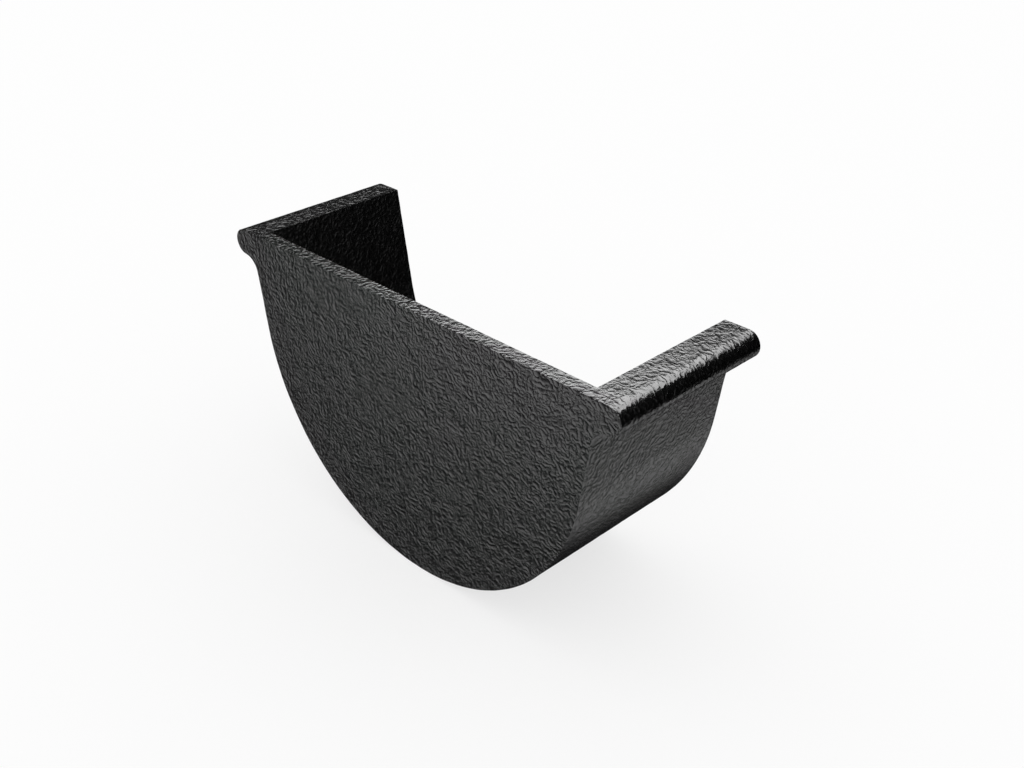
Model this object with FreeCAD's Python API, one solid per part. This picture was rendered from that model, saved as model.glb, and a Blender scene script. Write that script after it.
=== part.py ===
import FreeCAD, Part
import math
import os

# Cast iron external stop end for a beaded deep half round gutter of 125 by 75 mm.
# One casting: a stop plate closes one end of a short socket, and the gutter's end slides
# into the other. The socket has a round sole, two side walls that lean in as they go down,
# and a round bead along each rim. The outside is one section over the whole length.
#
# Frame, in millimetres: +X across the gutter, +Y from the stop plate to the socket's mouth,
# +Z up. The origin lies under the middle of the length, on the lowest line of the sole.

# Driving dimensions
MOUTH_WIDTH = 134.0  # clear width between the side walls at the rim: 133 mm gutter and play
RIM_RISE = 20.9  # from the centre of the sole's arc up to the rim
SIDE_LEAN = 9.55  # degrees that the walls' inner faces lean in, going down from the rim
SOCKET_LENGTH = 51.1  # from the stop plate's inner face to the mouth
PLATE_THICKNESS = 4.7
RIM_WALL = 4.5  # thickness of a side wall at the rim, measured level
SOLE_WALL = 4.9  # thickness of the round sole
BEAD_DIAMETER = 8.2
BEAD_NECK = 3.4  # from a wall's outer face at the rim out to the bead's centre
BOLT_HOLE_DIAMETER = 7.0  # clears an M6 gutter bolt
BOLT_FROM_MOUTH = 25.0  # from the mouth back to the bolt hole's centre

# What follows from them
LEAN = math.radians(SIDE_LEAN)
HALF_MOUTH = MOUTH_WIDTH / 2
INNER_RADIUS = HALF_MOUTH * math.cos(LEAN) - RIM_RISE * math.sin(LEAN)
OUTER_RADIUS = INNER_RADIUS + SOLE_WALL
CENTRE_Z = OUTER_RADIUS
RIM_Z = CENTRE_Z + RIM_RISE
LENGTH = PLATE_THICKNESS + SOCKET_LENGTH
PLATE_Y = -LENGTH / 2
STOP_Y = PLATE_Y + PLATE_THICKNESS
MOUTH_Y = LENGTH / 2


def point(x, z):
    """A point of the section, which is drawn at the plate's outer face."""
    return FreeCAD.Vector(x, PLATE_Y, z)


def mirrored(edges):
    """The same edges on the other side of the middle plane."""
    return [edge.mirror(FreeCAD.Vector(), FreeCAD.Vector(1, 0, 0)) for edge in edges]


def closed_face(edges):
    return Part.Face(Part.Wire(Part.sortEdges(edges)[0]))


def wall_lean(half_width, sole_radius):
    """Lean, in radians, of the line from the rim that runs on smoothly into the sole's arc."""
    rim_from_centre = math.hypot(half_width, RIM_RISE)
    return math.acos(sole_radius / rim_from_centre) - math.atan2(RIM_RISE, half_width)


def wall_foot(lean, sole_radius):
    """Where a wall of this lean ends on the sole's arc, as x and z."""
    return sole_radius * math.cos(lean), CENTRE_Z - sole_radius * math.sin(lean)


def sole_arc(foot_x, foot_z, sole_radius):
    lowest = point(0, CENTRE_Z - sole_radius)
    return Part.Arc(point(foot_x, foot_z), lowest, point(-foot_x, foot_z)).toShape()


def pocket_section():
    """Inside of the socket: leaning walls, round sole, open line across the rim."""
    foot_x, foot_z = wall_foot(LEAN, INNER_RADIUS)
    wall = Part.LineSegment(point(HALF_MOUTH, RIM_Z), point(foot_x, foot_z)).toShape()
    rim = Part.LineSegment(point(-HALF_MOUTH, RIM_Z), point(HALF_MOUTH, RIM_Z)).toShape()
    sides = [wall] + mirrored([wall])
    return closed_face(sides + [sole_arc(foot_x, foot_z, INNER_RADIUS), rim])


def bead_and_wall():
    """Right side of the outside, from the top of the bead down to the sole's arc.

    The bead touches the rim's level with its top. A cove leaves its lowest point level
    and ends on the wall, tangent to both.
    """
    wall_x = HALF_MOUTH + RIM_WALL
    lean = wall_lean(wall_x, OUTER_RADIUS)
    bead_x = wall_x + BEAD_NECK
    bead_radius = BEAD_DIAMETER / 2
    bead_foot_z = RIM_Z - BEAD_DIAMETER
    neck_at_foot = BEAD_NECK * math.cos(lean) + BEAD_DIAMETER * math.sin(lean)
    cove_radius = neck_at_foot / (1 - math.sin(lean))

    cove_centre_z = bead_foot_z - cove_radius
    cove_foot_x = bead_x - cove_radius * math.cos(lean)
    cove_foot_z = cove_centre_z + cove_radius * math.sin(lean)
    halfway = (math.pi / 2 + math.pi - lean) / 2
    cove_mid_x = bead_x + cove_radius * math.cos(halfway)
    cove_mid_z = cove_centre_z + cove_radius * math.sin(halfway)
    foot_x, foot_z = wall_foot(lean, OUTER_RADIUS)

    bead_foot = point(bead_x, bead_foot_z)
    cove_foot = point(cove_foot_x, cove_foot_z)
    bead_side = point(bead_x + bead_radius, RIM_Z - bead_radius)
    bead = Part.Arc(point(bead_x, RIM_Z), bead_side, bead_foot)
    cove = Part.Arc(bead_foot, point(cove_mid_x, cove_mid_z), cove_foot)
    wall = Part.LineSegment(cove_foot, point(foot_x, foot_z))
    edges = [curve.toShape() for curve in (bead, cove, wall)]
    return edges, bead_x, foot_x, foot_z


def outer_section():
    """Outside of the casting: flat rim, beads, coves, leaning walls and round sole."""
    side, bead_x, foot_x, foot_z = bead_and_wall()
    rim = Part.LineSegment(point(-bead_x, RIM_Z), point(bead_x, RIM_Z)).toShape()
    return closed_face(side + mirrored(side) + [sole_arc(foot_x, foot_z, OUTER_RADIUS), rim])


def socket_pocket():
    """The hollow that takes the gutter's end, from the stop plate to the mouth."""
    pocket = pocket_section().extrude(FreeCAD.Vector(0, SOCKET_LENGTH, 0))
    pocket.translate(FreeCAD.Vector(0, PLATE_THICKNESS, 0))
    return pocket


def bolt_hole():
    """Plain hole down through the middle of the sole."""
    start = FreeCAD.Vector(0, MOUTH_Y - BOLT_FROM_MOUTH, -SOLE_WALL)
    return Part.makeCylinder(BOLT_HOLE_DIAMETER / 2, 3 * SOLE_WALL, start, FreeCAD.Vector(0, 0, 1))


def end_cap():
    casting = outer_section().extrude(FreeCAD.Vector(0, LENGTH, 0))
    return casting.cut(socket_pocket()).cut(bolt_hole()).removeSplitter()


os.makedirs("parts", exist_ok=True)
end_cap().exportStep("parts/end_cap.step")
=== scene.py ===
import bisect
import math

import bmesh
import bpy
from mathutils import Euler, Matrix, Vector, geometry, kdtree, noise


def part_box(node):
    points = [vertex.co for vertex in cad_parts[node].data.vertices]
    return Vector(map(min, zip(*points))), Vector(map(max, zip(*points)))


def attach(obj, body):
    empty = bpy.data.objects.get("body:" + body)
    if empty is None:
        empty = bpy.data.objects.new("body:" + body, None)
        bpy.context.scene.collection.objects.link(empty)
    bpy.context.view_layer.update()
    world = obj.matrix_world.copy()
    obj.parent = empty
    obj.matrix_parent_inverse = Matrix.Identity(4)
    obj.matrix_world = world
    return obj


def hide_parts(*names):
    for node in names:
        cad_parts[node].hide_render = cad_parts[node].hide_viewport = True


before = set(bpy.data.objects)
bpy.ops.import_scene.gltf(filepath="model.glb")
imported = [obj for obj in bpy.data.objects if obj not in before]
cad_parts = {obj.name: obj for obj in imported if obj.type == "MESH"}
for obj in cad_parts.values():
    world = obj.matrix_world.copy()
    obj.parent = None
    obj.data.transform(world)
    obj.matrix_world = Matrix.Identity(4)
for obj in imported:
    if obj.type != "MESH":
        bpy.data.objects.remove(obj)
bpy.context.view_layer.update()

# Painted cast iron end cap of a beaded deep half round gutter. The casting's mesh is built
# here from the same section as the solid, with its uneven cast skin. The paint wrinkles.

MM = 0.001

# The casting's section, as in the solid. The rest is taken from the solid's own box.
RIM_RISE = 20.9 * MM  # from the centre of the sole's arc up to the rim
SIDE_LEAN = math.radians(9.55)  # of the walls' inner faces
PLATE_THICKNESS = 4.7 * MM
RIM_WALL = 4.5 * MM
SOLE_WALL = 4.9 * MM
BEAD_DIAMETER = 8.2 * MM
BEAD_NECK = 3.4 * MM
BOLT_HOLE_DIAMETER = 7.0 * MM
BOLT_FROM_MOUTH = 25.0 * MM

low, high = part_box("end_cap")
PLATE_Y = low.y
STOP_Y = PLATE_Y + PLATE_THICKNESS
MOUTH_Y = high.y
RIM_Z = high.z
OUTER_RADIUS = RIM_Z - RIM_RISE
INNER_RADIUS = OUTER_RADIUS - SOLE_WALL
CENTRE_Z = OUTER_RADIUS
HALF_MOUTH = (INNER_RADIUS + RIM_RISE * math.sin(SIDE_LEAN)) / math.cos(SIDE_LEAN)
BEAD_X = HALF_MOUTH + RIM_WALL + BEAD_NECK  # middle of the right bead

# Mesh and relief
MESH_STEP = 0.95 * MM  # spacing of the mesh's points
FINE_STEP = 0.1 * MM  # spacing along a section line, which the mesh's points are read from
KEEP_OFF = 0.6  # share of a step that a patch's inner points keep from its edges
WELD = 0.001 * MM
SHARP_ANGLE = math.radians(35)
SWELL_DEPTH = 0.10 * MM  # broad unevenness of the casting, cut into the surface
SWELL_LENGTH = 5.0 * MM
SWELL_FALL = 0.5  # how fast the finer swells in it get weaker
SWELL_STEP = 2.0  # how much finer each layer of swells is
SWELL_LAYERS = 2

# Paint. The scales count cells in a metre.
PAINT_BLACK = (0.001, 0.001, 0.001, 1)
PAINT_ROUGHNESS = 0.22
WRINKLE_SCALE = 590
WRINKLE_DETAIL = 2.0
WRINKLE_FALL = 0.6
WRINKLE_OFFSET = 1.0
WRINKLE_GAIN = 1.0
WRINKLE_HEIGHT = 0.062 * MM
BEND_SCALE = 430
BEND_DETAIL = 1.0
WRINKLE_BEND = 1.5 * MM  # how far the wrinkles are bent out of line

# Studio. An azimuth is counted in degrees from +X towards +Y.
FLOOR_HALF = 20.0  # metres
FLOOR_COLOUR = (0.96, 0.96, 0.96, 1)
FLOOR_GLOW = 0.7
ROOM_LIGHT = 1.0
# azimuth, elevation, distance in metres, half angle, brightness
SHINE_LAMP = (127, 79.5, 0.432, 41, 8.3)
BRIGHTEST_GLOW = 2.5
# azimuth, elevation, spread, level
ROOM_GLOWS = [
    (-114, -5, 11, 42),  # on the stop plate, brighter towards the rim
    (0, -42, 11, 0.8),  # on the walls' outside
    (69, -47, 8.7, 1.0),  # along the sole
    (13, 14, 9, 1.2),  # on the grain of the walls' inside
    (-64, -18, 11, 1.8),  # the rest show the form and the wrinkles from the other sides
    (-22, -25, 11, 1.0),
    (100, -8, 9, 0.8),
    (137, -27, 7, 0.8),
    (155, -20, 10, 1.0),
    (170, -45, 8, 0.6),
    (-45, 30, 14, 1.2),
    (-110, 35, 14, 1.2),
    (-170, 25, 10, 0.9),
]

# Camera, as it was found from the outline in the photograph
VIEW_ANGLE = math.radians(45)
CAMERA_AZIMUTH = math.radians(45)
CAMERA_ELEVATION = math.radians(30)
CAMERA_PLACE = (234.68 * MM, -219.99 * MM, 238.13 * MM)


def add_object(name, data):
    """A new object in the scene."""
    thing = bpy.data.objects.new(name, data)
    bpy.context.scene.collection.objects.link(thing)
    return thing


def spaced(start, end):
    """Evenly spaced points on a straight line, with the first and without the last."""
    count = max(1, round(math.dist(start, end) / MESH_STEP))
    shares = [i / count for i in range(count)]
    return [tuple(a + (b - a) * share for a, b in zip(start, end)) for share in shares]


class SectionLine:
    """A line of the section from the left rim round to the right, read by length."""

    def __init__(self, right_half):
        left_half = [(-x, z) for x, z in right_half]
        self.points = left_half + right_half[-2::-1]
        self.lengths = [0.0]
        for a, b in zip(self.points, self.points[1:]):
            self.lengths.append(self.lengths[-1] + math.dist(a, b))
        self.length = self.lengths[-1]

    def at(self, length):
        """x and z at a length along the line."""
        i = min(max(bisect.bisect_right(self.lengths, length), 1), len(self.points) - 1)
        step = self.lengths[i] - self.lengths[i - 1]
        share = (length - self.lengths[i - 1]) / step
        return tuple(a + (b - a) * share for a, b in zip(self.points[i - 1], self.points[i]))

    def flat(self):
        """The line's mesh points as x and z, with the first and without the last."""
        return [self.at(length) for length, _ in spaced((0, 0), (self.length, 0))]

    def place(self, length, y):
        x, z = self.at(length)
        return x, y, z


def arc(centre_x, centre_z, radius, start, end):
    """Fine points along an arc in the section, both ends included."""
    count = math.ceil(radius * abs(end - start) / FINE_STEP)
    angles = [start + (end - start) * i / count for i in range(count + 1)]
    return [(centre_x + radius * math.cos(a), centre_z + radius * math.sin(a)) for a in angles]


def wall_lean(half_width, sole_radius):
    """Lean of the line from the rim that runs on smoothly into the sole's arc."""
    rim_from_centre = math.hypot(half_width, RIM_RISE)
    return math.acos(sole_radius / rim_from_centre) - math.atan2(RIM_RISE, half_width)


def inner_line():
    sole = arc(0, CENTRE_Z, INNER_RADIUS, -SIDE_LEAN, -math.pi / 2)
    return SectionLine([(HALF_MOUTH, RIM_Z)] + sole)


def outer_line():
    """Bead, cove, leaning wall and sole of the outside, all tangent."""
    lean = wall_lean(HALF_MOUTH + RIM_WALL, OUTER_RADIUS)
    neck_at_foot = BEAD_NECK * math.cos(lean) + BEAD_DIAMETER * math.sin(lean)
    cove_radius = neck_at_foot / (1 - math.sin(lean))
    cove_z = RIM_Z - BEAD_DIAMETER - cove_radius
    bead_radius = BEAD_DIAMETER / 2
    bead = arc(BEAD_X, RIM_Z - bead_radius, bead_radius, math.pi / 2, -math.pi / 2)
    cove = arc(BEAD_X, cove_z, cove_radius, math.pi / 2, math.pi - lean)
    sole = arc(0, CENTRE_Z, OUTER_RADIUS, -lean, -math.pi / 2)
    return SectionLine(bead + cove[1:] + sole)


def hole_loop(line, radius):
    """The bolt hole's edge on a section line's surface, as lengths and y."""
    count = round(math.pi * BOLT_HOLE_DIAMETER / MESH_STEP)
    loop = []
    for i in range(count):
        angle = 2 * math.pi * i / count
        x = BOLT_HOLE_DIAMETER / 2 * math.cos(angle)
        y = MOUTH_Y - BOLT_FROM_MOUTH + BOLT_HOLE_DIAMETER / 2 * math.sin(angle)
        loop.append((line.length / 2 + radius * math.asin(x / radius), y))
    return loop


def lattice(loop):
    """Points of an even triangle pattern over a flat loop's box."""
    low_u, low_v = (min(p[i] for p in loop) for i in (0, 1))
    high_u, high_v = (max(p[i] for p in loop) for i in (0, 1))
    row_step = MESH_STEP * math.sqrt(3) / 2
    for row in range(1, math.ceil((high_v - low_v) / row_step)):
        for column in range(math.ceil((high_u - low_u) / MESH_STEP)):
            yield low_u + (column + 0.5 * (row % 2)) * MESH_STEP, low_v + row * row_step


def add_patch(mesh, loops, place):
    """Fills a flat area, inside the first loop and outside the others, with even triangles.

    place puts each flat point in space.
    """
    points = [Vector(p) for loop in loops for p in loop]
    tree = kdtree.KDTree(len(points))
    for i, p in enumerate(points):
        tree.insert(p.to_3d(), i)
    tree.balance()
    rings = []
    for loop in loops:
        first = sum(map(len, rings))
        rings.append(list(range(first, first + len(loop))))
    for p in map(Vector, lattice(loops[0])):
        if tree.find(p.to_3d())[2] > KEEP_OFF * MESH_STEP:
            points.append(p)
    inside_only = 1
    flat, _, faces, _, _, sources = geometry.delaunay_2d_cdt(
        points, [], rings, inside_only, WELD / 10
    )
    faces = [face for face, rings_round_it in zip(faces, sources) if rings_round_it == [0]]
    used = sorted({i for face in faces for i in face})
    vertices = {i: mesh.verts.new(place(*flat[i])) for i in used}
    for face in faces:
        mesh.faces.new([vertices[i] for i in face])


def add_hole_wall(mesh, outer, inner):
    """The bolt hole's wall, between its edges on the outside and the inside."""
    outer_ring = [Vector(outer.place(*p)) for p in hole_loop(outer, OUTER_RADIUS)]
    inner_ring = [Vector(inner.place(*p)) for p in hole_loop(inner, INNER_RADIUS)]
    rows = round(SOLE_WALL / MESH_STEP)
    rings = []
    for row in range(rows + 1):
        ring = [a.lerp(b, row / rows) for a, b in zip(outer_ring, inner_ring)]
        rings.append([mesh.verts.new(p) for p in ring])
    for lower, upper in zip(rings, rings[1:]):
        for i in range(len(lower)):
            j = (i + 1) % len(lower)
            mesh.faces.new((lower[i], lower[j], upper[j], upper[i]))


def skin_loop(line, start_y, end_y):
    """Edge of a skin swept along the gutter, as lengths and y."""
    corners = [(0, start_y), (line.length, start_y), (line.length, end_y), (0, end_y)]
    return outline(corners)


def outline(corners):
    """Mesh points round a closed outline of straight lines."""
    return [p for a, b in zip(corners, corners[1:] + corners[:1]) for p in spaced(a, b)]


def casting_mesh():
    """Closed mesh of the whole casting, in even triangles."""
    outer, inner = outer_line(), inner_line()
    mesh = bmesh.new()
    outer_loops = [skin_loop(outer, PLATE_Y, MOUTH_Y), hole_loop(outer, OUTER_RADIUS)]
    inner_loops = [skin_loop(inner, STOP_Y, MOUTH_Y), hole_loop(inner, INNER_RADIUS)]
    add_patch(mesh, outer_loops, outer.place)
    add_patch(mesh, inner_loops, inner.place)
    add_hole_wall(mesh, outer, inner)

    bead_right, wall_right = (BEAD_X, RIM_Z), (HALF_MOUTH, RIM_Z)
    bead_left, wall_left = (-BEAD_X, RIM_Z), (-HALF_MOUTH, RIM_Z)
    plate_edge = outer.flat() + spaced(bead_right, bead_left)
    stop_edge = inner.flat() + spaced(wall_right, wall_left)
    inner_back = [wall_right] + inner.flat()[:0:-1]
    mouth_edge = outer.flat() + spaced(bead_right, wall_right) + inner_back
    mouth_edge += spaced(wall_left, bead_left)
    add_patch(mesh, [plate_edge], lambda x, z: (x, PLATE_Y, z))
    add_patch(mesh, [stop_edge], lambda x, z: (x, STOP_Y, z))
    add_patch(mesh, [mouth_edge], lambda x, z: (x, MOUTH_Y, z))
    rim_corners = [
        (-BEAD_X, PLATE_Y), (BEAD_X, PLATE_Y), (BEAD_X, MOUTH_Y), (HALF_MOUTH, MOUTH_Y),
        (HALF_MOUTH, STOP_Y), (-HALF_MOUTH, STOP_Y), (-HALF_MOUTH, MOUTH_Y), (-BEAD_X, MOUTH_Y),
    ]
    add_patch(mesh, [outline(rim_corners)], lambda x, y: (x, y, RIM_Z))
    bmesh.ops.remove_doubles(mesh, verts=mesh.verts, dist=WELD)
    bmesh.ops.recalc_face_normals(mesh, faces=mesh.faces)
    return mesh


def cut_swells(mesh):
    """The casting's broad unevenness, as real relief."""
    mesh.normal_update()
    for vertex in mesh.verts:
        place = vertex.co / SWELL_LENGTH
        height = noise.fractal(place, SWELL_FALL, SWELL_STEP, SWELL_LAYERS)
        depth = SWELL_DEPTH * min(max((1 - height) / 2, 0), 1)
        vertex.co -= vertex.normal * depth


def end_cap_piece(material):
    """The whole casting as one piece, in place of the solid."""
    mesh = casting_mesh()
    cut_swells(mesh)
    data = bpy.data.meshes.new("cast_end_cap")
    mesh.to_mesh(data)
    open_edges = sum(1 for edge in mesh.edges if not edge.is_manifold)
    print("end cap triangles", len(mesh.faces), "open edges", open_edges)
    mesh.free()
    data.shade_smooth()
    data.set_sharp_from_angle(angle=SHARP_ANGLE)
    data.materials.append(material)
    piece = add_object("cast_end_cap", data)
    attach(piece, "root")
    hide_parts("end_cap")


def black_paint():
    """Satin black paint, finely wrinkled by the rough iron under it."""
    material = bpy.data.materials.new("black_paint_on_cast_iron")
    material.use_nodes = True
    tree = material.node_tree
    shader = tree.nodes["Principled BSDF"]
    place = tree.nodes.new("ShaderNodeTexCoord").outputs["Object"]
    bend = tree.nodes.new("ShaderNodeTexNoise")
    bend.inputs["Scale"].default_value = BEND_SCALE
    bend.inputs["Detail"].default_value = BEND_DETAIL
    tree.links.new(place, bend.inputs["Vector"])
    bent = tree.nodes.new("ShaderNodeVectorMath")
    bent.operation = "MULTIPLY_ADD"
    tree.links.new(bend.outputs["Color"], bent.inputs[0])
    bent.inputs[1].default_value = (WRINKLE_BEND,) * 3
    tree.links.new(place, bent.inputs[2])
    wrinkle = tree.nodes.new("ShaderNodeTexNoise")
    wrinkle.noise_type = "RIDGED_MULTIFRACTAL"
    wrinkle.normalize = False
    wrinkle.inputs["Scale"].default_value = WRINKLE_SCALE
    wrinkle.inputs["Detail"].default_value = WRINKLE_DETAIL
    wrinkle.inputs["Roughness"].default_value = WRINKLE_FALL
    wrinkle.inputs["Offset"].default_value = WRINKLE_OFFSET
    wrinkle.inputs["Gain"].default_value = WRINKLE_GAIN
    tree.links.new(bent.outputs["Vector"], wrinkle.inputs["Vector"])
    bump = tree.nodes.new("ShaderNodeBump")
    bump.inputs["Strength"].default_value = 1.0
    bump.inputs["Distance"].default_value = WRINKLE_HEIGHT
    tree.links.new(wrinkle.outputs["Fac"], bump.inputs["Height"])
    tree.links.new(bump.outputs["Normal"], shader.inputs["Normal"])
    shader.inputs["Base Color"].default_value = PAINT_BLACK
    shader.inputs["Roughness"].default_value = PAINT_ROUGHNESS
    return material


def maths(tree, operation, *values):
    """Output of a maths node; each value is a number or another node's output."""
    node = tree.nodes.new("ShaderNodeMath")
    node.operation = operation
    for socket, value in zip(node.inputs, values):
        if isinstance(value, (int, float)):
            socket.default_value = value
        else:
            tree.links.new(value, socket)
    return node.outputs[0]


def floor_paint():
    """Matt white. It also glows a little in the picture, so that the shadow on it stays faint."""
    material = bpy.data.materials.new("pale_floor")
    material.use_nodes = True
    tree = material.node_tree
    shader = tree.nodes["Principled BSDF"]
    shader.inputs["Base Color"].default_value = FLOOR_COLOUR
    shader.inputs["Roughness"].default_value = 1.0
    shader.inputs["Specular IOR Level"].default_value = 0
    rays = tree.nodes.new("ShaderNodeLightPath")
    seen = maths(tree, "MAXIMUM", rays.outputs["Is Camera Ray"], rays.outputs["Is Glossy Ray"])
    seen = maths(tree, "MAXIMUM", seen, rays.outputs["Is Transmission Ray"])
    glow = tree.nodes.new("ShaderNodeEmission")
    mix = tree.nodes.new("ShaderNodeMixShader")
    tree.links.new(maths(tree, "MULTIPLY", seen, FLOOR_GLOW), mix.inputs["Fac"])
    tree.links.new(shader.outputs[0], mix.inputs[1])
    tree.links.new(glow.outputs[0], mix.inputs[2])
    tree.links.new(mix.outputs[0], tree.nodes["Material Output"].inputs["Surface"])
    return material


def pale_floor():
    """A floor that reaches far past the picture."""
    mesh = bmesh.new()
    bmesh.ops.create_grid(mesh, x_segments=1, y_segments=1, size=FLOOR_HALF)
    data = bpy.data.meshes.new("pale_floor")
    mesh.to_mesh(data)
    mesh.free()
    data.materials.append(floor_paint())
    floor = add_object("pale_floor", data)
    return floor


def direction(azimuth, elevation):
    """Unit vector that points this way."""
    way = Vector((1, 0, 0))
    way.rotate(Euler((0, math.radians(-elevation), math.radians(azimuth))))
    return way


def soft_lamp(name, azimuth, elevation, distance, spread, brightness):
    """A round soft lamp that looks at the object; spread is its half angle from there."""
    way = direction(azimuth, elevation)
    radius = distance * math.tan(math.radians(spread))
    data = bpy.data.lights.new(name, "AREA")
    data.shape = "DISK"
    data.size = 2 * radius
    data.energy = brightness * (math.pi * radius) ** 2
    lamp = add_object(name, data)
    lamp.location = Vector((0, 0, RIM_Z / 2)) + way * distance
    lamp.rotation_euler = way.to_track_quat("Z", "Y").to_euler()
    return lamp


def glow_level(tree, way, azimuth, elevation, spread, level):
    """Brightness of one soft glow of the room, by the way a ray goes."""
    node = tree.nodes.new("ShaderNodeVectorMath")
    node.operation = "DOT_PRODUCT"
    tree.links.new(way, node.inputs[0])
    node.inputs[1].default_value = direction(azimuth, elevation)
    off = maths(tree, "SUBTRACT", node.outputs["Value"], 1)
    power = maths(tree, "DIVIDE", off, math.radians(spread) ** 2)
    return maths(tree, "MULTIPLY", maths(tree, "POWER", math.e, power), level)


def room():
    """Even white light all round. The paint mirrors a dark room with a few soft glows in it."""
    world = bpy.data.worlds.new("room")
    world.use_nodes = True
    world.cycles.sampling_method = "NONE"
    bpy.context.scene.world = world
    tree = world.node_tree
    way = tree.nodes.new("ShaderNodeTexCoord").outputs["Generated"]
    glows = 0
    for glow in ROOM_GLOWS:
        glows = maths(tree, "ADD", glows, glow_level(tree, way, *glow))
    glows = maths(tree, "MINIMUM", glows, BRIGHTEST_GLOW)
    mirrored = tree.nodes.new("ShaderNodeLightPath").outputs["Is Glossy Ray"]
    change = maths(tree, "MULTIPLY", maths(tree, "SUBTRACT", glows, ROOM_LIGHT), mirrored)
    background = tree.nodes["Background"]
    background.inputs["Color"].default_value = (1, 1, 1, 1)
    tree.links.new(maths(tree, "ADD", change, ROOM_LIGHT), background.inputs["Strength"])


def studio():
    """White floor and room, with a shine lamp for the paint.

    As in the photograph, the paint mirrors no pale floor: what it mirrors passes through the
    floor to the low glows of the room.
    """
    pale_floor().visible_glossy = False
    soft_lamp("shine_lamp", *SHINE_LAMP).visible_diffuse = False
    room()
    bpy.context.scene.view_settings.view_transform = "Standard"


def camera():
    data = bpy.data.cameras.new("camera")
    data.lens = data.sensor_width / 2 / math.tan(VIEW_ANGLE / 2)
    eye = add_object("camera", data)
    eye.location = CAMERA_PLACE
    eye.rotation_euler = (math.pi / 2 - CAMERA_ELEVATION, 0, CAMERA_AZIMUTH)
    bpy.context.scene.camera = eye


end_cap_piece(black_paint())
studio()
camera()
